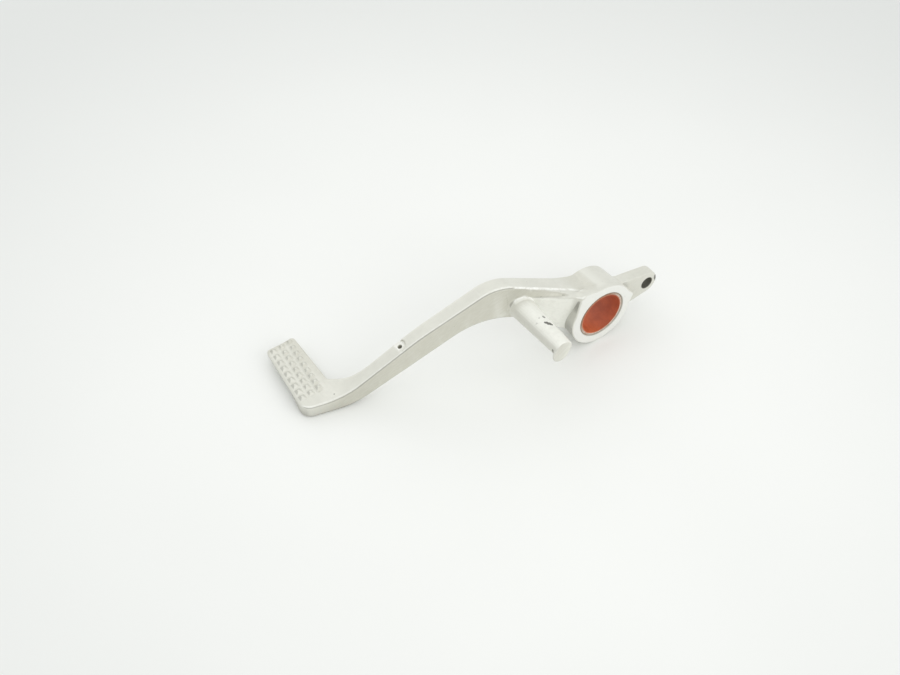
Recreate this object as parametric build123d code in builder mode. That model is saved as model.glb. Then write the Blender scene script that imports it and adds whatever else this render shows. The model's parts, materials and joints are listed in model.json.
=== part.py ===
from build123d import *

import os
from math import atan, cos, degrees, radians, tan

os.makedirs("parts", exist_ok=True)

# Rear brake pedal. The pivot runs along Y through the origin, the tread lies forward (-X) and
# outboard (+Y), and the heel and the pivot boss stand on one level. Near means inboard (-Y).

# Pivot boss and its pressed-in plain bush
boss_diameter = 44.0
boss_far_diameter = 40.8
boss_near_reach = 10.5
boss_far_reach = 12.0
boss_edge = 0.8
boss_root_forward = 9.0
boss_root_radius = 18.0
bush_diameter = 32.0
bush_length = 20.0
bush_shell_wall = 1.5
bush_lining_wall = 0.5
bush_seat_edge = 0.5

# Arm seen from the side: corners of its top and underside, and the radii that round them
rib_height_at_pivot = 16.0
crest_forward = 63.8
crest_height = 42.9
crest_radius = 22.0
slope_forward = 110.0
slope_height = 18.4
slope_radius = 120.0
tread_bend_forward = 156.0
tread_bend_radius = 42.0
heel_height = 9.0
sole_rear_setback = 5.5
sole_bend_radius = 40.0
hollow_forward = 67.7
hollow_height = 23.7
hollow_radius = 40.0
web_foot_forward = 18.0
web_foot_height = -9.8
arm_edge = 1.5

# Arm and tread seen from above
arm_slant = 12.85
arm_near_offset = 5.1
arm_width = 9.8
arm_width_taper = 1.0
tread_front_forward = 180.4
tread_root_width = 23.0
tread_outer_width = 18.7
tread_outboard = 89.0
heel_corner_radius = 7.0
tread_corner_radius = 2.5
tread_root_radius = 3.0
tread_flare_run = 11.9
tread_flare_width = 9.3
tread_flare_radius = 33.0
far_crest_radius = 200.0
far_boss_radius = 40.0
heel_breadth = 8.5
heel_run = 9.0
tread_thickness = 4.2

# Tread pattern: rows of small blunt pyramids, skewed a little both ways
pyramid_row_pitch = 5.1
pyramid_column_pitch = 5.7
pyramid_base = 4.3
pyramid_top = 1.2
pyramid_height = 1.4
pyramid_rows = 9
pyramid_columns = 3
pyramid_skew = 4.9
pyramid_setback = 11.5
pyramid_end_margin = 3.4

# Web between the peg and the boss: the rib above it twists out to an ear on the boss's near face
rib_depth = 7.0
web_foot_proud = 1.3
web_skin = 0.3
ear_forward = 15.8
ear_height = 22.6
ear_radius = 1.5

# Peg for the return spring, with a drooping lip that keeps the spring on
peg_forward = 49.5
peg_height = 21.8
peg_reach = 34.8
peg_root_diameter = 14.8
peg_end_diameter = 11.6
peg_root_radius = 1.2
lip_diameter = 11.6
lip_thickness = 1.6
lip_forward = 1.4
lip_drop = 2.8
lip_edge = 0.4

# Tongue with the eye for the brake rod
eye_rearward = 40.0
eye_drop = 0.3
eye_diameter = 8.0
eye_wall = 3.9
tongue_root_diameter = 29.0
tongue_near_offset = 5.0
tongue_thickness = 8.0
tongue_edge = 0.8
shoulder_rearward = 22.8
shoulder_height = 3.6
shoulder_radius = 1.8

# Small drilled hole in the arm's top, with a round spot face
spot_forward = 119.5
spot_inset = 5.4
spot_depth = 0.9
spot_diameter = 8.0
spot_tilt = 16.0
pin_hole_diameter = 2.6
pin_hole_depth = 9.0

boss_radius = boss_diameter / 2
boss_far_radius = boss_far_diameter / 2
boss_length = boss_near_reach + boss_far_reach
sole_level = -boss_radius
tread_level = sole_level + heel_height
tread_back_forward = tread_front_forward - tread_root_width
sole_rear_forward = tread_bend_forward - sole_rear_setback
flare_forward = tread_back_forward - tread_flare_run
inside_boss = bush_diameter / 4
arm_embed = arm_width / 3

# How faces and edges are picked: the upward share of a level face's normal, and a match of radii
level_facing = 0.3
same_size = 0.01


def between(start, end, forward):
    """Height on the straight line between two (forward, height) points."""
    return start[1] + (end[1] - start[1]) * (forward - start[0]) / (end[0] - start[0])


def near_side(forward):
    """Y of the arm's near side."""
    return forward * tan(radians(arm_slant)) - arm_near_offset


def far_side(forward):
    """Y of the arm's far side, which closes in on the near side towards the tread."""
    taper = (forward - crest_forward) * tan(radians(arm_width_taper))
    return near_side(forward) + arm_width / cos(radians(arm_slant)) - taper


def rib_top(forward):
    """Z of the arm's top between the boss and the crest."""
    return between((0, rib_height_at_pivot), (crest_forward, crest_height), forward)


def slope_top(forward):
    """Z of the arm's top between the slope's corner and the tread."""
    return between((slope_forward, slope_height), (tread_bend_forward, tread_level), forward)


def tread_top(forward):
    """Z of the tread's top, which starts to bend up towards the arm."""
    climb = atan((slope_height - tread_level) / (tread_bend_forward - slope_forward))
    past_bend = tread_bend_forward + tread_bend_radius * tan(climb / 2) - forward
    return tread_level + max(past_bend, 0) ** 2 / (2 * tread_bend_radius)


def web_bottom(forward):
    """Z of the lower edge between the boss and the hollow under the crest."""
    return between((web_foot_forward, web_foot_height), (hollow_forward, hollow_height), forward)


def rim(faces):
    """Edges around a patch of faces, without the edges that two of the faces share."""
    edges = faces.edges()
    return edges.filter_by(lambda edge: sum(edge.is_same(other) for other in edges) == 1)


# Arm and tread: the side outline crossed with the plan outline
with BuildPart() as arm:
    past_front = -tread_front_forward - heel_height
    with BuildSketch(Plane.XZ):
        with BuildLine():
            FilletPolyline(
                (0, boss_far_radius - boss_edge),
                (-boss_root_forward, rib_top(boss_root_forward)),
                (-crest_forward, crest_height),
                (-slope_forward, slope_height),
                (-tread_bend_forward, tread_level),
                (past_front, tread_level),
                (past_front, sole_level),
                (-sole_rear_forward, sole_level),
                (-hollow_forward, hollow_height),
                (-web_foot_forward, web_foot_height),
                (0, web_foot_height),
                radius=(
                    0,
                    boss_root_radius,
                    crest_radius,
                    slope_radius,
                    tread_bend_radius,
                    0,
                    0,
                    sole_bend_radius,
                    hollow_radius,
                    0,
                    0,
                ),
                close=True,
            )
        make_face()
    extrude(amount=tread_outboard + boss_length, both=True)
    with BuildSketch(Plane.XY):
        with BuildLine():
            FilletPolyline(
                (inside_boss, near_side(-inside_boss)),
                (-tread_front_forward, near_side(tread_front_forward)),
                (-tread_back_forward - tread_outer_width, tread_outboard),
                (-tread_back_forward, tread_outboard),
                (-tread_back_forward, far_side(tread_back_forward) + tread_flare_width),
                (-flare_forward, far_side(flare_forward)),
                (-crest_forward, far_side(crest_forward)),
                (-boss_radius, boss_far_reach),
                (inside_boss, boss_far_reach),
                radius=(
                    0,
                    heel_corner_radius,
                    tread_corner_radius,
                    tread_corner_radius,
                    tread_root_radius,
                    tread_flare_radius,
                    far_crest_radius,
                    far_boss_radius,
                    0,
                ),
                close=True,
            )
        make_face()
    extrude(amount=crest_height + boss_diameter, both=True, mode=Mode.INTERSECT)
    # The tread is thinner than the heel, from below
    with BuildSketch(Plane.YZ):
        with BuildLine():
            heel_end = near_side(tread_front_forward) + heel_breadth
            Polyline(
                (heel_end, sole_level),
                (heel_end + heel_run, tread_level - tread_thickness),
                (tread_outboard, tread_level - tread_thickness),
                (tread_outboard, sole_level),
                close=True,
            )
        make_face()
    extrude(amount=tread_front_forward + heel_height, both=True, mode=Mode.SUBTRACT)
    tops = arm.faces().filter_by(lambda face: face.normal_at().Z > level_facing)
    bottoms = arm.faces().filter_by(lambda face: face.normal_at().Z < -level_facing)
    outside = rim(tops) + rim(bottoms)
    fillet(outside.filter_by(lambda edge: edge.center().X < -boss_radius / 2), arm_edge)

# Web: flush with the arm at the peg, and out to the ear at the boss
with BuildPart() as web:
    ear_level = ear_height + ear_radius / 2
    for forward, proud, rib_near, rib_bottom in (
        (peg_forward, -web_skin, near_side(peg_forward) + web_skin, rib_top(peg_forward) - rib_depth),
        (ear_forward, web_foot_proud, web_skin - boss_near_reach, ear_level),
        (inside_boss, web_foot_proud, web_skin - boss_near_reach, boss_radius - ear_radius),
    ):
        with BuildSketch(Plane.YZ.offset(-forward)):
            with BuildLine():
                Polyline(
                    (near_side(forward) + arm_embed, rib_top(forward) - arm_edge),
                    (near_side(forward) + web_skin, rib_top(forward) - arm_edge),
                    (rib_near, rib_bottom),
                    (near_side(forward) - proud, web_bottom(forward)),
                    (near_side(forward) + arm_embed, web_bottom(forward)),
                    close=True,
                )
            make_face()
    loft(ruled=True)

# Spring peg: a tapered post with a flared root, and the lip on its end
with BuildPart() as peg:
    with BuildSketch(Plane.XZ.offset(peg_reach)):
        with Locations((-peg_forward - lip_forward, peg_height - lip_drop)):
            Circle(lip_diameter / 2)
    extrude(amount=-lip_thickness)
    fillet(peg.edges().filter_by(GeomType.CIRCLE), lip_edge)
    foot_radius = peg_root_diameter / 2 + peg_root_radius
    root = near_side(peg_forward + foot_radius)
    with BuildSketch(Plane.XY.offset(peg_height)):
        with BuildLine():
            flare = RadiusArc(
                (foot_radius - peg_forward, root),
                (peg_root_diameter / 2 - peg_forward, root - peg_root_radius),
                peg_root_radius,
            )
            Polyline(
                flare @ 1,
                (peg_end_diameter / 2 - peg_forward, lip_edge - peg_reach),
                (peg_end_diameter / 2 - lip_edge - peg_forward, -peg_reach),
                (-peg_forward, -peg_reach),
                (-peg_forward, root),
                flare @ 0,
            )
        make_face()
    revolve(axis=Axis((-peg_forward, 0, peg_height), (0, 1, 0)))

# Tongue: a tapered plate round the eye
with BuildPart() as tongue:
    with BuildSketch(Plane.XZ.offset(tongue_near_offset)):
        Circle(tongue_root_diameter / 2)
        with Locations((eye_rearward, -eye_drop)):
            Circle(eye_diameter / 2 + eye_wall)
        make_hull()
    extrude(amount=-tongue_thickness)
    fillet(tongue.edges().filter_by(Axis.Y, reverse=True), tongue_edge)

# The boss's near face: a pointed shoulder over the tongue's root, and the ear at the rib's end
with BuildPart() as near_flange:
    with BuildSketch(Plane.XZ.offset(boss_near_reach)):
        Circle(boss_radius - boss_edge)
        with Locations((shoulder_rearward, shoulder_height)):
            Circle(shoulder_radius)
        with Locations((-ear_forward, ear_height)):
            Circle(ear_radius)
        make_hull()
    extrude(amount=tongue_near_offset - boss_near_reach - tongue_edge)
    fillet(near_flange.faces().sort_by(Axis.Y)[0].edges(), boss_edge)

# The casting
with BuildPart() as pedal_lever:
    with BuildSketch(Plane.XY):
        with BuildLine():
            Polyline(
                (0, -boss_near_reach),
                (boss_radius, -boss_near_reach),
                (boss_far_radius, boss_far_reach),
                (0, boss_far_reach),
                close=True,
            )
        make_face()
    revolve(axis=Axis.Y)
    fillet(pedal_lever.edges().filter_by(GeomType.CIRCLE), boss_edge)
    add(arm.part)
    add(web.part)
    add(peg.part)
    add(tongue.part)
    add(near_flange.part)
    # Tread pattern
    half_rows = (pyramid_rows - 1) / 2 * pyramid_row_pitch
    half_columns = (pyramid_columns - 1) / 2 * pyramid_column_pitch
    pattern_outboard = tread_outboard - pyramid_end_margin - half_rows
    pattern_forward = tread_front_forward - pyramid_setback
    lean = tan(radians(pyramid_skew))
    pyramid_slope = degrees(atan((pyramid_base - pyramid_top) / 2 / pyramid_height))
    for column in range(pyramid_columns):
        across = column * pyramid_column_pitch - half_columns
        with BuildSketch(Plane.XY.offset(tread_top(pattern_forward - across))):
            for row in range(pyramid_rows):
                along = row * pyramid_row_pitch - half_rows
                pyramid_x = across + along * lean - pattern_forward
                pyramid_y = along + across * lean + pattern_outboard
                with Locations((pyramid_x, pyramid_y)):
                    Rectangle(pyramid_base, pyramid_base)
        extrude(amount=pyramid_height, taper=pyramid_slope)
    # Seat for the bush, right through the boss
    with BuildSketch(Plane.XZ):
        Circle(bush_diameter / 2)
    extrude(amount=boss_length, both=True, mode=Mode.SUBTRACT)
    seat_rims = pedal_lever.edges().filter_by(GeomType.CIRCLE)
    seat_rims = seat_rims.filter_by(lambda edge: abs(edge.radius - bush_diameter / 2) < same_size)
    chamfer(seat_rims, bush_seat_edge)
    # Eye for the rod
    with BuildSketch(Plane.XZ):
        with Locations((eye_rearward, -eye_drop)):
            Circle(eye_diameter / 2)
    extrude(amount=boss_length, both=True, mode=Mode.SUBTRACT)
    # Spot face and the small hole in it
    spot_centre = (
        -spot_forward,
        near_side(spot_forward) + spot_inset,
        slope_top(spot_forward) - spot_depth,
    )
    spot = Plane(origin=spot_centre, x_dir=(0, 1, 0), z_dir=Vector(0, 0, 1).rotate(Axis.Y, -spot_tilt))
    with BuildSketch(spot):
        Circle(spot_diameter / 2)
    extrude(amount=spot_diameter, mode=Mode.SUBTRACT)
    with BuildSketch(spot):
        Circle(pin_hole_diameter / 2)
    extrude(amount=-pin_hole_depth, mode=Mode.SUBTRACT)
pedal_lever.part.label = "pedal_lever"
export_step(pedal_lever.part, "parts/pedal_lever.step")

# Bush: a steel shell with a thin bonded lining
bush_inner = bush_diameter / 2 - bush_shell_wall
with BuildPart() as bush_shell:
    with BuildSketch(Plane.XZ):
        Circle(bush_diameter / 2)
        Circle(bush_inner, mode=Mode.SUBTRACT)
    extrude(amount=bush_length / 2, both=True)
bush_shell.part.label = "bush_shell"
export_step(bush_shell.part, "parts/bush_shell.step")

with BuildPart() as bush_lining:
    with BuildSketch(Plane.XZ):
        Circle(bush_inner)
        Circle(bush_inner - bush_lining_wall, mode=Mode.SUBTRACT)
    extrude(amount=bush_length / 2, both=True)
bush_lining.part.label = "bush_lining"
export_step(bush_lining.part, "parts/bush_lining.step")
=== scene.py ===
import json
import math

import bpy
import numpy as np
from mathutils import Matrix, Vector

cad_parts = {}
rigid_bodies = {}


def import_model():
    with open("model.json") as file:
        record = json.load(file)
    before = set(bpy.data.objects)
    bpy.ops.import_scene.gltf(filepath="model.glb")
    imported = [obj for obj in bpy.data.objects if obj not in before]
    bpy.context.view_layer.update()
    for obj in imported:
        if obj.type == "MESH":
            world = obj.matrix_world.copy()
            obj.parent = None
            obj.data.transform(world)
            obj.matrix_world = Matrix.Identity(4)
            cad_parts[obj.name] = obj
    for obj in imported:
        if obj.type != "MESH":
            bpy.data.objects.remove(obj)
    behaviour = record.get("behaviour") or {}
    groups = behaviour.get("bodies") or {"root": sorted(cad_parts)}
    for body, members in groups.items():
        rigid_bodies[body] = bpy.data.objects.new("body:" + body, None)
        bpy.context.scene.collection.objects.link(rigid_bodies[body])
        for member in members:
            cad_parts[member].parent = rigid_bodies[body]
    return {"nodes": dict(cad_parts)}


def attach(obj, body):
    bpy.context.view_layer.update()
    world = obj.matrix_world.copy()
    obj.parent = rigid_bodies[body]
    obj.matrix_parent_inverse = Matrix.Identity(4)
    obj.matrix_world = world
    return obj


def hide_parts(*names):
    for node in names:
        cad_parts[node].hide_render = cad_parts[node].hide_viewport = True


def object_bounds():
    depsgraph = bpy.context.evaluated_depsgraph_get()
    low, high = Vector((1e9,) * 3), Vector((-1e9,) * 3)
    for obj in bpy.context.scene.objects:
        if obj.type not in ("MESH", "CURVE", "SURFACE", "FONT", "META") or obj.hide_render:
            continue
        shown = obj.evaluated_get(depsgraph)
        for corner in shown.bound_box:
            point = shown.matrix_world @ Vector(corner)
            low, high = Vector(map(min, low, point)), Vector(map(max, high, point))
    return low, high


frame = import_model()
cad_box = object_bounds()

MM = 0.001

# The view: the lever is seen from its inboard side, from above its toe end.
EYE_MM = (-367.3, -386.7, 544.3)
VIEW_AZIMUTH = -34.32
VIEW_ELEVATION = 45.72
FRAME_DROP = -0.0428
SENSOR_WIDTH = 36.0
LENS_LENGTH = 50.0

# The studio, in metres: each light's name, place, width, depth and power.
TABLE_SIZE = 8
LIGHT_AIM = (-0.05, 0.03, 0)
LIGHTS = [
    ("overhead", (-0.35, -0.05, 1.55), 1.8, 1.8, 3.0),
    ("front", (0.35, -1.2, 0.85), 1.4, 1.0, 5.0),
    ("back", (-0.05, 1.3, 0.85), 1.4, 1.0, 2.4),
]
ROOM_TINT = (0.985, 1.0, 0.985)
ROOM_STRENGTH = 0.85

# The casting's skin: mesh step, how much its edges and roots are eased, and how many triangles it keeps.
MERGE_REACH = 0.000002
SKIN_STEP_MM = 0.3
SKIN_PASSES = 2
SKIN_TRIANGLES = 180000
BEND_PASSES = 6
BEND_LEAST = 0.03
ROOT_PASSES = 40
ROOT_SPREAD = 7
ROOT_START = -152
BAND_PASSES = 150
SADDLE_PASSES = 220
EDGE_PASSES = 30
EDGE_SPREAD = 5

# Machined places that keep their crisp roots, as (centre, radius) in millimetres.
BORE_PLACE = ((0, 0, 0), 18.5)
EYE_PLACE = ((40, -1, -0.3), 7.5)
PIN_PLACE = ((-120, 30, 12), 8.0)
BOSS_RADIUS = 27.0
BUSH_RADIUS = 16.0
EYE_RADIUS = 4.0
BOSS_FACES = (-10.5, 12.0)
FAR_FACE_RADIUS = 20.4

# The rib and the band under its rim. The ledge where the band turns into the web has its height given at the ear,
# and climbs from there towards the arm.
RIB_SPAN = (-56.0, -13.0)
RIM_WIDTH = 1.5
BAND_SPAN = (-54, -17)
BAND_FOOT = 0.6
BAND_FACING = 0.05
EAR = (-15.8, 22.6)
LEDGE_CLIMB = 0.18
LEDGE_SPAN = (-52, -18)
LEDGE_REACH = 2.0
LEDGE_DEPTH = 6
TONGUE_START = 21
ARM_INCLINE = 31.0

# The saddle between the rib's foot and the ring: its stretch along x and y, its lowest height, and how far it faces up
# at least.
SADDLE_X = (-22, -6)
SADDLE_Y = (-9.0, 5)
SADDLE_FOOT = 18.5
SADDLE_FACING = 0.2

# Where the painted highlight of the rib's rim runs out over the saddle: a point on it, and the slope of the cut
# that it follows.
RIM_END = (-20.8, 0.4, 24.5)
RIM_SLOPE = (0.470, 0.530, 0.706)

# Soft ends of the lever's stretches, in millimetres along x, y or z.
ARM_END = (-56, -52)
RIB_START = (-54, -50)
TREAD_EDGE = (-152, -150)
STUDS_EDGE = (41, 42.5)
SIDE_EDGE = (2, 4)
HUMP_FOOT = (18, 19)

# The tread's top under its studs: its height, its slope and where that height is taken.
TREAD_TOP = (-13.0, 0.056, -176.4)

# The seam behind the peg's foot, where a painted highlight runs: a point on it and its slant. Then the pale patch low
# on the arm and the painted shade at the crest, as their places along x and z.
PEG_SEAM = (-48, 4.6)
PEG_SEAM_SLANT = 0.2
PALE_PATCH = (-61, 18.8)
PALE_PATCH_SIZE = (6, 3.2)
CREST_PATCH = (-51.5, 32.5)

# Numbers that the skin carries for its finish and its painted highlights and shade, and how dark each place is painted.
MARKS = ("rim", "root", "scuff_and_shade", "turned", "rubbed_and_highlit", "grime")
MARK_PASSES = 14
MARK_GAIN = 4
SHADE_AND_GRIME = {
    "round_bush": 0.35,
    "in_eye": 0.97,
    "in_pin_hole": 0.9,
    "peg_front": 0.10,
    "ring_front": 1.0,
    "crest_side": 0.11,
    "ring_back": 0.3,
    "studs_front": 0.30,
    "studs_back": 0.17,
    "under_arm_rim": 0.5,
    "arm_foot": 0.3,
    "arm_toe": 0.06,
    "under_rib_rim": 0.13,
    "toe_wall": 0.42,
    "sole": 0.35,
    "under_ledge": 0.25,
}

# Chips in the paint: both ends, width and depth.
CHIPS = [
    ((-49.8, -16.4, 28.4), (-46.6, -20.2, 27.5), 2.0, 0.9),
    ((-47.8, -12.0, 28.1), (-47.2, -13.8, 27.9), 1.4, 0.7),
    ((-50.9, -12.0, 28.2), (-50.0, -12.4, 28.2), 0.8, 0.35),
    ((-54.0, -13.6, 26.8), (-50.2, -15.9, 28.1), 0.5, 0.25),
    ((-55.6, -31.8, 22.8), (-55.2, -32.4, 20.6), 1.4, 0.8),
    ((46.3, -5.2, 4.0), (47.2, -4.6, -2.0), 2.0, 0.85),
    ((-26.2, -2.8, 25.0), (-24.8, -3.2, 24.8), 0.7, 0.45),
    ((-38.6, 2.2, 26.9), (-37.6, 1.8, 26.8), 0.6, 0.35),
    ((-160.4, 35.8, -12.0), (-160.0, 35.5, -12.0), 0.7, 0.6),
]
CHIP_SOFTNESS = 0.12
CHIP_RAGGED = 0.3

# Tints of the finishes, as red, green and blue.
SILVER = {
    "dull": (0.705, 0.70, 0.638),
    "clean": (0.75, 0.745, 0.682),
    "mottled": (0.66, 0.655, 0.60),
    # paler paint: painted highlights and painted light, with one paler patch
    "rubbed_and_highlit": (0.89, 0.89, 0.83),
    # scuffed paint that also carries painted shade
    "scuffed_and_shaded": (0.60, 0.588, 0.51),
    # painted shade in the roots and creases
    "root": (0.46, 0.45, 0.38),
    "turned": (0.85, 0.85, 0.815),
    # painted highlight on the rims
    "rim": (0.95, 0.95, 0.91),
    # painted shade, with grime in the eye and a dark seam round the bush
    "grime": (0.10, 0.096, 0.075),
    "speck": (0.25, 0.24, 0.21),
    "chipped": (0.10, 0.098, 0.085),
}
STEEL = {
    "dull": (0.58, 0.50, 0.43),
    "bright": (0.74, 0.67, 0.60),
    "rust": (0.42, 0.24, 0.14),
    "brown": (0.26, 0.12, 0.055),
    "seam": (0.20, 0.125, 0.07),
}
LINING = {
    "dark": (0.41, 0.094, 0.040),
    "red": (0.525, 0.13, 0.055),
    # painted light on the lining towards the front
    "lit_front": (0.68, 0.17, 0.058),
    "streak": (0.42, 0.098, 0.05),
    "fleck": (0.66, 0.26, 0.15),
}
TABLE = {
    "shade": (0.875, 0.88, 0.865),
    "light": (0.89, 0.895, 0.88),
    # painted fall-off of light away from the piece
    "far": (0.72, 0.73, 0.72),
}
TABLE_FADE = (100, 540)
TABLE_CENTRE = (-60, 20)
BUMP_STRENGTH = 0.12


class Coat:
    """A socket of a material's nodes. Sums on it add Math nodes, and node() adds any other node."""

    def __init__(self, socket):
        self.socket = socket

    def node(self, kind, settings=(), sockets=(), output=0):
        tree = self.socket.id_data
        made = tree.nodes.new("ShaderNode" + kind)
        for name, value in dict(settings).items():
            setattr(made, name, value)
        for name, value in dict(sockets).items():
            if isinstance(value, Coat):
                tree.links.new(value.socket, made.inputs[name])
            else:
                made.inputs[name].default_value = value
        return Coat(made.outputs[output])

    def sum(self, operation, *values):
        return self.node("Math", {"operation": operation}, dict(enumerate(values)))

    def __add__(self, other):
        return self.sum("ADD", self, other)

    def __sub__(self, other):
        return self.sum("SUBTRACT", self, other)

    def __rsub__(self, other):
        return self.sum("SUBTRACT", other, self)

    def __mul__(self, other):
        return self.sum("MULTIPLY", self, other)

    __radd__ = __add__
    __rmul__ = __mul__

    def top(self, other):
        return self.sum("MAXIMUM", self, other)

    def ramp(self, low, high, to_low=0.0, to_high=1.0):
        ends = {"From Min": low, "From Max": high, "To Min": to_low, "To Max": to_high}
        return self.node("MapRange", {"interpolation_type": "SMOOTHSTEP"}, {"Value": self, **ends})

    def noise(self, size, detail=2.0, roughness=0.5):
        grain = {"Scale": 1 / size, "Detail": detail, "Roughness": roughness}
        return self.node("TexNoise", {}, {"Vector": self, **grain})

    def cells(self, size):
        return self.node("TexVoronoi", {"feature": "F1"}, {"Vector": self, "Scale": 1 / size})

    def moved(self, turn=(0, 0, 0), scale=(1, 1, 1)):
        return self.node("Mapping", {}, {"Vector": self, "Rotation": turn, "Scale": scale})

    def along(self, axis):
        return self.node("SeparateXYZ", {}, {"Vector": self}, axis)

    def reach(self, place):
        return self.node("VectorMath", {"operation": "DISTANCE"}, {0: self, 1: place}, 1)

    def from_pivot(self):
        """The distance from the pivot's axis."""
        return self.moved(scale=(1, 0, 1)).reach((0, 0, 0))

    def rings(self, size, detail):
        """Fine rings from the lathe, for a distance from the pivot's axis."""
        return self.node("CombineXYZ", {}, {"X": self}).noise(size, detail)

    def mark(self, name):
        """One of the numbers that the skin carries at its points."""
        return self.node("Attribute", {"attribute_name": name}, {}, 2)

    def chip(self, start, end, width, depth):
        """A ragged patch between two points where the paint has gone, its depth from 0 to 1."""
        length = math.dist(start, end)
        around = (length * length + width * width) ** 0.5
        ragged = self.noise(1.1, 2.0).ramp(0.2, 0.8, -CHIP_RAGGED, CHIP_RAGGED)
        reach = self.reach(start) + self.reach(end) + ragged
        return reach.ramp(around - CHIP_SOFTNESS, around + CHIP_SOFTNESS, depth, 0.0)

    def blend(self, first, second):
        """The first colour where this mask is 0, the second where it is 1."""
        return self.node("Mix", {"data_type": "RGBA"}, {0: self, 6: first, 7: second}, 2)

    def bump(self, distance):
        """A normal from this height."""
        relief = {"Height": self, "Strength": BUMP_STRENGTH, "Distance": distance}
        return self.node("Bump", {}, relief, "Normal")


def start_finish(name):
    """A new material with its shader and its place on the piece, in millimetres."""
    material = bpy.data.materials.new(name)
    material.use_nodes = True
    shader = material.node_tree.nodes["Principled BSDF"]
    corner = Coat(shader.inputs["Roughness"]).node("TexCoord", {}, {}, "Object")
    return material, shader, corner.moved(scale=(1 / MM, 1 / MM, 1 / MM))


def feed(shader, **sockets):
    for name, value in sockets.items():
        socket = shader.inputs[name.replace("_", " ")]
        if isinstance(value, Coat):
            shader.id_data.links.new(value.socket, socket)
        else:
            socket.default_value = value


def opaque(tint):
    return (*tint, 1.0)


def opaque_all(tints):
    return {name: opaque(tint) for name, tint in tints.items()}


def silver_coat():
    """Thin silver paint on a cast skin.

    It has painted highlights on its rims, a side worn by the boot and darkened with painted shade, turned boss faces,
    painted shade in its roots, holes and under its edges, a dark seam round the bush, and a few chips.
    """
    material, shader, place = start_finish("silver_coat")
    tint = opaque_all(SILVER)
    rim, root, scuff_and_shade, turned, rubbed_and_highlit, grime = (place.mark(name) for name in MARKS)
    radius = place.from_pivot()
    outboard = place.along("Y").ramp(BOSS_FACES[1] - 0.4, BOSS_FACES[1] - 0.15)
    turned = turned.top(outboard * radius.ramp(FAR_FACE_RADIUS, FAR_FACE_RADIUS - 0.4))
    cloud = place.noise(14.0, 3.0)
    mottle = place.noise(2.6, 3.0, 0.6)
    grain = place.noise(0.42, 2.0, 0.6)
    along_arm = place.moved(turn=(0, math.radians(ARM_INCLINE), 0))
    streak = along_arm.moved(scale=(0.07, 1, 1)).noise(0.8, 3.0, 0.6)
    lathe = radius.rings(0.35, 2.0)
    specks = (1 - place.cells(3.4).ramp(0.05, 0.085)) * place.noise(6.0, 1.0).ramp(0.56, 0.64)
    chips = place.chip(*CHIPS[0])
    for ends in CHIPS[1:]:
        chips = chips.top(place.chip(*ends))
    paint = cloud.ramp(0.3, 0.7).blend(tint["dull"], tint["clean"])
    paint = mottle.ramp(0.35, 0.75, 0.0, 0.35).blend(paint, tint["mottled"])
    # Painted highlights and painted light on the web, the peg's top and the hump, with a paler patch.
    paint = (rubbed_and_highlit * mottle.ramp(0.25, 0.6, 0.6, 1.0)).blend(paint, tint["rubbed_and_highlit"])
    # Scuffed side, darkened also as painted shade.
    paint = (scuff_and_shade * streak.ramp(0.3, 0.62, 0.65, 1.0)).blend(paint, tint["scuffed_and_shaded"])
    # Painted shade in the roots and creases.
    paint = (root * cloud.ramp(0.30, 0.65, 0.35, 0.7)).blend(paint, tint["root"])
    paint = (turned * lathe.ramp(0.3, 0.7, 0.8, 1.0)).blend(paint, tint["turned"])
    # Painted highlight along the rims.
    paint = (rim * mottle.ramp(0.30, 0.62, 0.5, 1.0)).blend(paint, tint["rim"])
    # Painted shade in holes, creases and under edges, with grime in the eye and a dark seam round the bush.
    paint = (grime * cloud.ramp(0.3, 0.7, 0.85, 1.0)).blend(paint, tint["grime"])
    paint = (specks * 0.5).blend(paint, tint["speck"])
    paint = chips.blend(paint, tint["chipped"])
    rough = 0.44 + mottle.ramp(0.3, 0.7, -0.05, 0.06) - (rim + turned) * 0.10 + (root + grime) * 0.12
    relief = grain * 0.6 + mottle * 0.4 + (scuff_and_shade * streak + turned * lathe) * 0.7 - chips * 1.5
    feed(shader, Base_Color=paint, Roughness=rough, Metallic=0.25, Normal=relief.bump(0.0004))
    return material


def bush_steel():
    """Rolled steel shell with turned ends and a little brown on its rim, most of it on the forward upper half."""
    material, shader, place = start_finish("bush_steel")
    tint = opaque_all(STEEL)
    radius = place.from_pivot()
    lathe = radius.rings(0.2, 3.0)
    rust = place.noise(2.4, 3.0).ramp(0.40, 0.66, 0.1, 0.6)
    seam = radius.ramp(BUSH_RADIUS - 0.45, BUSH_RADIUS - 0.15)
    forward_up = place.node("VectorMath", {"operation": "DOT_PRODUCT"}, {0: place, 1: (-0.56, 0.0, 0.83)}, 1)
    tone = lathe.ramp(0.3, 0.7).blend(tint["dull"], tint["bright"])
    tone = rust.blend(tone, tint["rust"])
    tone = forward_up.ramp(-2.0, 11.0, 0.0, 0.85).blend(tone, tint["brown"])
    tone = seam.blend(tone, tint["seam"])
    rough = rust.ramp(0.0, 1.0, 0.30, 0.55)
    feed(shader, Base_Color=tone, Roughness=rough, Metallic=0.6, Normal=lathe.bump(0.0003))
    return material


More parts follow.
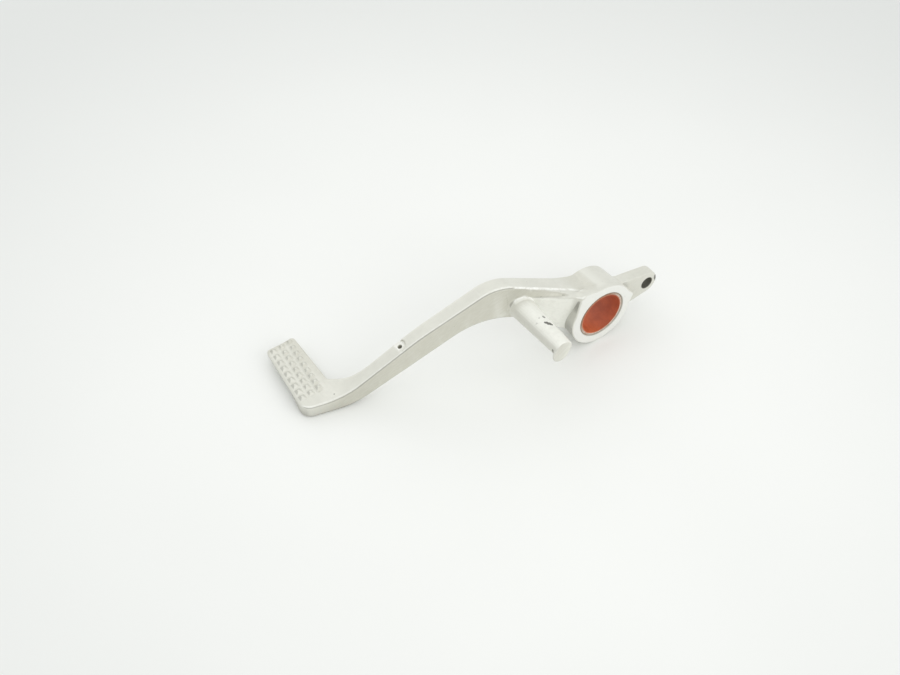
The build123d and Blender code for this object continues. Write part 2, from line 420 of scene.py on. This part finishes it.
def red_lining():
    """Dry red bearing lining, slightly streaked along the bore."""
    material, shader, place = start_finish("red_lining")
    tint = opaque_all(LINING)
    cloud = place.noise(7.0, 3.0)
    streak = place.moved(scale=(1.0, 0.12, 1.0)).noise(0.9, 2.0)
    fleck = place.noise(0.5, 2.0, 0.6)
    tone = cloud.ramp(0.3, 0.7).blend(tint["dark"], tint["red"])
    # Painted light: the lining lighter and more orange towards the front of the bore.
    tone = place.along("X").ramp(8.0, -5.0, 0.0, 0.5).blend(tone, tint["lit_front"])
    tone = streak.ramp(0.45, 0.75, 0.0, 0.4).blend(tone, tint["streak"])
    tone = fleck.ramp(0.62, 0.72, 0.0, 0.25).blend(tone, tint["fleck"])
    rough = cloud.ramp(0.3, 0.7, 0.40, 0.52)
    relief = fleck * 0.6 + streak * 0.4
    feed(shader, Base_Color=tone, Roughness=rough, Metallic=0.0, Normal=relief.bump(0.0003))
    return material


def table_top():
    """Plain pale table, barely clouded, and greyer away from the piece as a painted fall-off of light."""
    material, shader, place = start_finish("table_top")
    tint = opaque_all(TABLE)
    tone = place.noise(160.0, 2.0).ramp(0.3, 0.7).blend(tint["shade"], tint["light"])
    away = place.reach((*TABLE_CENTRE, cad_box[0][2] / MM)).ramp(*TABLE_FADE)
    feed(shader, Base_Color=away.blend(tone, tint["far"]), Roughness=0.6)
    return material


def select_only(piece):
    bpy.ops.object.select_all(action="DESELECT")
    piece.select_set(True)
    bpy.context.view_layer.objects.active = piece


def apply(piece, kind, **settings):
    """Adds one modifier to a piece and applies it."""
    select_only(piece)
    modifier = piece.modifiers.new(kind.lower(), kind)
    for name, value in settings.items():
        setattr(modifier, name, value)
    bpy.ops.object.modifier_apply(modifier=modifier.name)


def read(mesh, what):
    """The places ("co") or facings ("normal") of a mesh's points, one row each."""
    flat = np.empty(len(mesh.vertices) * 3)
    mesh.vertices.foreach_get(what, flat)
    return flat.reshape(-1, 3)


def bend_of(piece, passes):
    """How far each point stands proud of the smoothed skin, in millimetres: above 0 on an edge, below 0 in a root."""
    smooth = piece.copy()
    smooth.data = piece.data.copy()
    bpy.context.collection.objects.link(smooth)
    apply(smooth, "SMOOTH", factor=0.5, iterations=passes)
    moved = read(piece.data, "co") - read(smooth.data, "co")
    proud = (moved * read(piece.data, "normal")).sum(1) / MM
    spare = smooth.data
    bpy.data.objects.remove(smooth)
    bpy.data.meshes.remove(spare)
    return proud


def near(points, place):
    centre, radius = place
    return np.linalg.norm(points - np.array(centre), axis=1) < radius


def between(values, ends):
    return (values > ends[0]) & (values < ends[1])


def climb(values, low, high):
    """0 below low, 1 above high, and smooth between."""
    part = np.clip((values - low) / (high - low), 0, 1)
    return part * part * (3 - 2 * part)


def fade(values, low, high):
    """1 below low, 0 above high, and smooth between."""
    return climb(-values, -high, -low)


def window(values, rise, fall):
    """1 between two soft ends: it rises over the first pair of values and falls over the second."""
    return climb(values, *rise) * fade(values, *fall)


def crown_at(x, z):
    """The height of the rib's top at each x, from the highest points along the rib."""
    steps = np.arange(RIB_SPAN[0], RIB_SPAN[1], 1.0)
    return np.interp(x, steps, [z[np.abs(x - step) < 0.6].max() for step in steps])


def ledge_at(x):
    """The height of the ledge under the rib's band at each x."""
    return EAR[1] + LEDGE_CLIMB * (EAR[0] - x)


def ease(lever, chosen, spread, passes):
    """Smooths the chosen points of a skin and those round them."""
    group = lever.vertex_groups.new(name="eased")
    select_only(lever)
    bpy.ops.object.mode_set(mode="EDIT")
    bpy.ops.mesh.select_mode(type="VERT")
    bpy.ops.mesh.select_all(action="DESELECT")
    bpy.ops.object.mode_set(mode="OBJECT")
    lever.data.vertices.foreach_set("select", chosen)
    bpy.ops.object.mode_set(mode="EDIT")
    for _ in range(spread):
        bpy.ops.mesh.select_more()
    bpy.context.tool_settings.vertex_group_weight = 1.0
    bpy.ops.object.vertex_group_assign()
    bpy.ops.object.mode_set(mode="OBJECT")
    apply(lever, "SMOOTH", factor=0.5, iterations=passes, vertex_group=group.name)
    lever.vertex_groups.clear()


def lever_skin(solid):
    """The lever as it leaves the mould: its solid's skin, with the edges eased and the roots filled."""
    lever = bpy.data.objects.new("lever_casting", solid.data.copy())
    bpy.context.collection.objects.link(lever)
    select_only(lever)
    bpy.ops.object.mode_set(mode="EDIT")
    bpy.ops.mesh.select_all(action="SELECT")
    bpy.ops.mesh.remove_doubles(threshold=MERGE_REACH)
    bpy.ops.object.mode_set(mode="OBJECT")
    apply(lever, "REMESH", mode="VOXEL", voxel_size=SKIN_STEP_MM * MM)
    apply(lever, "SMOOTH", factor=0.5, iterations=SKIN_PASSES)

    points = read(lever.data, "co") / MM
    x, y, z = points.T
    bend = bend_of(lever, BEND_PASSES)
    boss = (np.hypot(x, z) < BOSS_RADIUS) & (y < 0)
    crisp = near(points, BORE_PLACE) | near(points, EYE_PLACE) | near(points, PIN_PLACE) | boss
    ease(lever, (bend < -BEND_LEAST) & ~crisp & (x > ROOT_START), ROOT_SPREAD, ROOT_PASSES)

    inboard = read(lever.data, "normal")[:, 1] < -BAND_FACING
    under_rim = z < crown_at(x, z) - RIM_WIDTH
    band = between(x, BAND_SPAN) & (z > ledge_at(x) + BAND_FOOT) & under_rim & inboard & ~crisp
    ease(lever, band, 0, BAND_PASSES)

    upward = read(lever.data, "normal")[:, 2] > SADDLE_FACING
    saddle = between(x, SADDLE_X) & between(y, SADDLE_Y) & (z > SADDLE_FOOT) & upward
    ease(lever, saddle, 0, SADDLE_PASSES)

    tongue = (x > TONGUE_START) & ~near(points, EYE_PLACE)
    ledge = (np.abs(z - ledge_at(x)) < LEDGE_REACH) & between(x, LEDGE_SPAN) & (y < LEDGE_DEPTH)
    ease(lever, (bend > BEND_LEAST) & (tongue | ledge), EDGE_SPREAD, EDGE_PASSES)

    triangles = 2 * len(lever.data.polygons)
    apply(lever, "DECIMATE", ratio=min(1.0, SKIN_TRIANGLES / triangles))
    select_only(lever)
    bpy.ops.object.shade_smooth()
    return lever


def wear_and_painted_light(lever):
    """Where the lever is worn, turned or soiled, and where its highlights and shade are painted, from each point's
    place and the way it faces.

    Each pair of numbers is the soft end of a mark: in millimetres for a place, from -1 to 1 for a facing.
    """
    x, y, z = read(lever.data, "co").T / MM
    rear, out, up = read(lever.data, "normal").T
    ahead, inboard = -rear, -out
    bend = np.clip(bend_of(lever, MARK_PASSES) * MARK_GAIN, -1, 1)
    over = z - ledge_at(x)
    drop = crown_at(x, z) - z
    boss = np.hypot(x, z)
    rib = climb(x, *RIB_START)
    tread = fade(x, *TREAD_EDGE)
    pattern = tread * climb(y, *STUDS_EDGE)
    near_top = fade(x, *ARM_END) * (1 - pattern)
    rib_side = climb(inboard, 0.15, 0.4) * climb(x, *ARM_END)

    # The drilled spot on the arm: the distance from its axis, and how far a point faces that axis.
    pin_x, pin_y, _ = PIN_PLACE[0]
    pin = np.hypot(x - pin_x, y - pin_y)
    to_pin = ((pin_x - x) * rear + (pin_y - y) * out) / np.maximum(pin, 0.1)
    on_spot = fade(pin, 3.8, 4.3) * climb(up, 0.85, 0.93) * climb(z, 5, 6)

    # Painted highlights on the rims of the arm and rib, over the saddle, behind the peg and round the drilled spot.
    upper = climb(up, 0.45, 0.65) * climb(inboard, 0.05, 0.3)
    arm_rim = climb(bend, 0.03, 0.22) * np.maximum(near_top * upper, 0.22 * (1 - tread) * (1 - rib))
    rib_rim = rib_side * window(drop, (0.0, 0.2), (1.0, 1.5)) * fade(x, -17, -13)
    off_line = np.abs(sum(slope * (value - end) for slope, value, end in zip(RIM_SLOPE, (x, y, z), RIM_END)))
    run_out = fade(off_line, 0.3, 0.8) * window(x, (-22, -18), (-18, -9)) * climb(up, 0.2, 0.4) * climb(z, *HUMP_FOOT)
    off_seam = np.abs(y - PEG_SEAM[1] + PEG_SEAM_SLANT * (x - PEG_SEAM[0]))
    peg_seam = fade(off_seam, 0.7, 1.7) * window(x, (-55, -53), (-44, -42.5)) * climb(z, 24, 25.5) * climb(up, 0.1, 0.4)
    spot_rim = 0.8 * on_spot * climb(pin_y - y, 0.5, 1.5)

    # The side that the boot scuffs, darkened also as painted shade where it faces away from the light, with one paler
    # patch; the darker tongue, tread borders and lip; and painted shade on the front of the hump.
    from_patch = np.hypot((x - PALE_PATCH[0]) / PALE_PATCH_SIZE[0], (z - PALE_PATCH[1]) / PALE_PATCH_SIZE[1])
    pale_patch = 0.6 * fade(from_patch, 0.3, 1.0) * climb(inboard, 0.5, 0.8)
    arm_side = climb(inboard, 0.3, 0.7) * fade(x, -58, -50) * climb(x, -175, -150) ** 0.5 * (1 - pale_patch)
    band = climb(inboard, 0.1, 0.5) * climb(over, -0.6, 0.6) * fade(x, -22, -12) * (x > -60)
    tongue = 0.35 * climb(x, 22, 26)
    tread_sides = np.maximum(climb(y, 84, 86.5), climb(x, -162.2, -160.4) * climb(y, 44, 52))
    border = 0.55 * tread * climb(up, 0.3, 0.7) * tread_sides
    lip = 0.55 * climb(inboard, 0.8, 0.95) * fade(y, -34, -33)
    hump = climb(up, 0.8, 0.9) * climb(z, *HUMP_FOOT) * climb(y, -9, -6)
    # Painted shade on the hump's front, where it faces away from the light.
    hump_front = 0.45 * hump * window(x, (-18, -12), (-3.5, -2))

    # The turned face of the boss.
    near_face = climb(inboard, 0.85, 0.97) * fade(y - BOSS_FACES[0], 0.1, 0.5) * (boss < BOSS_RADIUS)

    # Places made pale: painted light on the web, painted highlights on the peg's top, the seam behind the peg and the
    # back of the hump, and the pale patch.
    web = climb(inboard, 0.3, 0.7) * fade(over, -1.2, 0.0) * window(x, (-52, -48), (-22, -20)) * climb(z, -14, -8)
    peg = fade(y, 0, 4) * fade(x, -40, -38) * climb(z, 8, 12)
    peg_top = 0.8 * peg * climb(up, 0.35, 0.75)
    hump_back = 0.35 * hump * window(x, (-2.5, -1), (1, 6))

    # Places painted dark: a dark seam round the bush; grime and painted shade in the eye; painted shade in the pin
    # hole, on the peg's forward underside, the boss's forward wall, the arm's side at the crest, the tongue by the
    # flange and the stud facets that face away from the light; painted shade under the rims, along the arm's foot,
    # under the ledge and low on the toe wall and sole; and the arm's side a little darker towards the toe.
    from_eye = np.hypot(x - EYE_PLACE[0][0], z - EYE_PLACE[0][2])
    from_crest = np.hypot(x - CREST_PATCH[0], z - CREST_PATCH[1])
    ring_wall = climb(ahead, 0.5, 0.8) * fade(boss, 26.5, 27.5) * window(y, (-9.8, -9.2), (-1, 2)) * climb(x, -24, -23)
    ring_shade = 0.22 + 0.3 * fade(z, -3, 6) + 0.38 * climb(z, 9, 14) * fade(y, -8, -5)
    height, slope, start = TREAD_TOP
    studs = pattern * climb(z - height - slope * (x - start), 0.1, 0.3) * fade(up, 0.9, 0.97)
    below_rim = window(up, (0.24, 0.36), (0.56, 0.72)) * climb(inboard, 0.3, 0.55) * climb(y, *SIDE_EDGE)
    foot_edge = window(up, (-0.85, -0.65), (-0.35, -0.15)) * climb(inboard, 0.25, 0.5) * climb(y, *SIDE_EDGE)
    below_ledge = fade(np.abs(over + 0.1), 0.3, 0.9) * window(x, (-44, -40), (-30, -20))
    shade_and_soil = {
        "round_bush": fade(boss, BUSH_RADIUS + 0.25, BUSH_RADIUS + 0.55),
        "in_eye": fade(from_eye, EYE_RADIUS + 0.1, EYE_RADIUS + 0.45),
        "in_pin_hole": fade(pin, 2.6, 3.0) * fade(up, 0.4, 0.6) * climb(to_pin, 0.1, 0.4) * climb(z, 3, 4),
        "peg_front": peg * climb(0.9 * ahead - 0.45 * up, 0.1, 0.8),
        "ring_front": ring_wall * ring_shade,
        "crest_side": fade(from_crest, 2, 10) * climb(inboard, 0.5, 0.8),
        "ring_back": fade(boss, 23.0, 26.5) * climb(x, 12, 16) * climb(inboard, 0.8, 0.9) * climb(y, -6.0, -5.2),
        "studs_front": studs * climb(0.65 * out + 0.75 * ahead, 0.12, 0.4),
        "studs_back": studs * climb(0.75 * out + 0.6 * rear, 0.12, 0.4),
        "under_arm_rim": below_rim * near_top,
        "arm_foot": foot_edge * fade(x, -62, -56),
        "arm_toe": arm_side * fade(x, -145, -125),
        "under_rib_rim": rib_side * window(drop, (0.8, 1.1), (1.7, 3.5)) * fade(x, -24, -14),
        "toe_wall": climb(ahead, 0.4, 0.8) * fade(z, -16.5, -14) * fade(x, -172, -168),
        "sole": fade(z, -21, -19) * fade(x, -145, -135),
        "under_ledge": rib * below_ledge * climb(inboard, 0.2, 0.5),
    }

    found = {
        "rim": [arm_rim, rib_rim, run_out, 0.9 * peg_seam, spot_rim],
        # painted shade in the roots and creases
        "root": [climb(-bend, 0.08, 0.55) * (1 - peg_seam)],
        "scuff_and_shade": [arm_side, band, tongue, border, lip, hump_front],
        "turned": [near_face, 0.7 * on_spot],
        "rubbed_and_highlit": [web, peg_top, 0.8 * peg_seam, pale_patch, hump_back],
        "grime": [SHADE_AND_GRIME[name] * amount for name, amount in shade_and_soil.items()],
    }
    for name in MARKS:
        layer = lever.data.attributes.new(name, "FLOAT", "POINT")
        layer.data.foreach_set("value", np.max(found[name], axis=0))


def dress(piece, finish):
    piece.data.materials.clear()
    piece.data.materials.append(finish)


def soft_light(name, place, width, depth, power):
    lamp = bpy.data.lights.new(name, "AREA")
    lamp.shape = "RECTANGLE"
    lamp.size = width
    lamp.size_y = depth
    lamp.energy = power
    holder = bpy.data.objects.new(name, lamp)
    bpy.context.collection.objects.link(holder)
    holder.location = place
    holder.rotation_euler = (Vector(LIGHT_AIM) - Vector(place)).to_track_quat("-Z", "Y").to_euler()


def studio():
    """Pale table in a white room, broad soft lights overhead, in front and behind."""
    bpy.ops.object.select_all(action="DESELECT")
    bpy.ops.mesh.primitive_plane_add(size=TABLE_SIZE, location=(0, 0, cad_box[0][2]))
    table = bpy.context.object
    table.name = "table"
    bpy.ops.object.transform_apply(location=True, rotation=True, scale=True)
    dress(table, table_top())
    for light in LIGHTS:
        soft_light(*light)
    room = bpy.data.worlds.new("room")
    room.use_nodes = True
    sky = room.node_tree.nodes["Background"].inputs
    sky["Color"].default_value = opaque(ROOM_TINT)
    sky["Strength"].default_value = ROOM_STRENGTH
    bpy.context.scene.world = room
    bpy.context.scene.view_settings.view_transform = "Standard"


def viewpoint():
    lens = bpy.data.cameras.new("viewpoint")
    lens.sensor_fit = "HORIZONTAL"
    lens.sensor_width = SENSOR_WIDTH
    lens.lens = LENS_LENGTH
    lens.shift_y = FRAME_DROP
    camera = bpy.data.objects.new("viewpoint", lens)
    bpy.context.collection.objects.link(camera)
    camera.location = [value * MM for value in EYE_MM]
    camera.rotation_euler = (math.radians(90 - VIEW_ELEVATION), 0, math.radians(VIEW_AZIMUTH))
    bpy.context.scene.camera = camera


viewpoint()
studio()
lever = lever_skin(frame["nodes"]["pedal_lever"])
wear_and_painted_light(lever)
dress(lever, silver_coat())
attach(lever, "root")
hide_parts("pedal_lever")
dress(frame["nodes"]["bush_shell"], bush_steel())
dress(frame["nodes"]["bush_lining"], red_lining())
